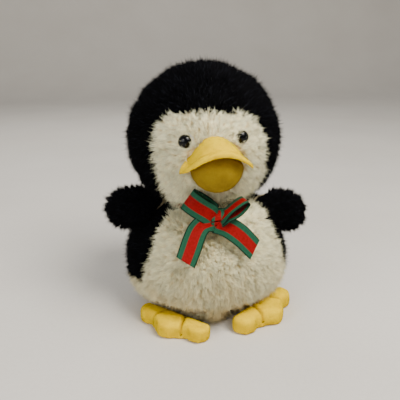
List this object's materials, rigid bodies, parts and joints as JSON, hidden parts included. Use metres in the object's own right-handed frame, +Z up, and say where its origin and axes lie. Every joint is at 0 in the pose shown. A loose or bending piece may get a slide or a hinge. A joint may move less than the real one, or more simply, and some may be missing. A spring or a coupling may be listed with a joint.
{
  "type": "plush penguin",
  "caption": "Sitting stuffed plush penguin with wings, a two-part bill, splayed webbed feet and a striped ribbon bow.",
  "frame": {"origin": "centre of the flat base, on the surface it sits on", "axes": "+Z up, the penguin faces -Y, its own left is +X"},
  "size_m": [0.2092, 0.192, 0.2499],
  "materials": {
    "plush_black": "deep black long-pile plush, matt with a faint sheen",
    "plush_white": "off-white long-pile plush, slightly yellowed",
    "wing_lining": "cream short plush",
    "beak_fabric": "yellow short-napped knit",
    "eye_plastic": "polished black plastic",
    "washer_plastic": "natural plastic",
    "ribbon": "woven ribbon, a wide red stripe between two green ones",
    "stuffing": "loose polyester fibre"
  },
  "bodies": {
    "head": {"head_back_left": "plush_black", "head_back_right": "plush_black", "face_panel": "plush_white", "eye_left": "eye_plastic", "eye_right": "eye_plastic", "eye_washer_left": "washer_plastic", "eye_washer_right": "washer_plastic", "beak_upper_cover": "beak_fabric", "beak_upper_lining": "beak_fabric", "beak_lower_cover": "beak_fabric", "beak_upper_stuffing": "stuffing", "beak_lower_stuffing": "stuffing", "head_stuffing": "stuffing"},
    "neck": {"neck_stuffing": "stuffing"},
    "torso": {"body_back_left": "plush_black", "body_back_right": "plush_black", "belly_left": "plush_white", "belly_right": "plush_white", "base_panel": "plush_white", "body_stuffing": "stuffing", "ribbon_neckband": "ribbon", "ribbon_knot": "ribbon", "ribbon_loop_left": "ribbon", "ribbon_loop_right": "ribbon"},
    "ribbon_tail_left": {"ribbon_tail_left": "ribbon"},
    "ribbon_tail_right": {"ribbon_tail_right": "ribbon"},
    "wing_left": {"wing_left_outer": "plush_black", "wing_left_lining": "wing_lining", "wing_left_stuffing": "stuffing"},
    "foot_left": {"foot_left_upper": "beak_fabric", "foot_left_sole": "beak_fabric", "foot_left_stuffing": "stuffing"},
    "wing_right": {"wing_right_outer": "plush_black", "wing_right_lining": "wing_lining", "wing_right_stuffing": "stuffing"},
    "foot_right": {"foot_right_upper": "beak_fabric", "foot_right_sole": "beak_fabric", "foot_right_stuffing": "stuffing"}
  },
  "joints": [
    {"name": "neck_turn", "type": "hinge", "parent": "torso", "child": "neck", "pos_m": [0, 0, 0.12], "axis": [0, 0, 1], "range_deg": [-20, 20], "stiffness_Nm_per_rad": 0.4},
    {"name": "neck_nod", "type": "hinge", "parent": "neck", "child": "head", "pos_m": [0, 0, 0.12], "axis": [1, 0, 0], "range_deg": [-7, 7], "stiffness_Nm_per_rad": 1},
    {"name": "wing_left_flap", "type": "hinge", "parent": "torso", "child": "wing_left", "pos_m": [0.06619, -0.01225, 0.11728], "axis": [-0.5147, -0.4058, -0.7553], "range_deg": [-10, 30], "stiffness_Nm_per_rad": 0.02},
    {"name": "wing_right_flap", "type": "hinge", "parent": "torso", "child": "wing_right", "pos_m": [-0.06619, -0.01225, 0.11728], "axis": [-0.5147, 0.4058, 0.7553], "range_deg": [-10, 30], "stiffness_Nm_per_rad": 0.02},
    {"name": "foot_left_flex", "type": "hinge", "parent": "torso", "child": "foot_left", "pos_m": [0.04249, -0.04225, 0.001], "axis": [-0.7373, -0.6756, 0], "range_deg": [0, 15], "stiffness_Nm_per_rad": 0.03},
    {"name": "foot_right_flex", "type": "hinge", "parent": "torso", "child": "foot_right", "pos_m": [-0.03436, -0.05437, 0.001], "axis": [-0.7314, 0.682, 0], "range_deg": [0, 15], "stiffness_Nm_per_rad": 0.03},
    {"name": "ribbon_tail_left_lift", "type": "hinge", "parent": "torso", "child": "ribbon_tail_left", "pos_m": [0, -0.078, 0.114], "axis": [-1, 0, 0], "range_deg": [0, 30]},
    {"name": "ribbon_tail_right_lift", "type": "hinge", "parent": "torso", "child": "ribbon_tail_right", "pos_m": [0, -0.078, 0.114], "axis": [-1, 0, 0], "range_deg": [0, 30]}
  ]
}
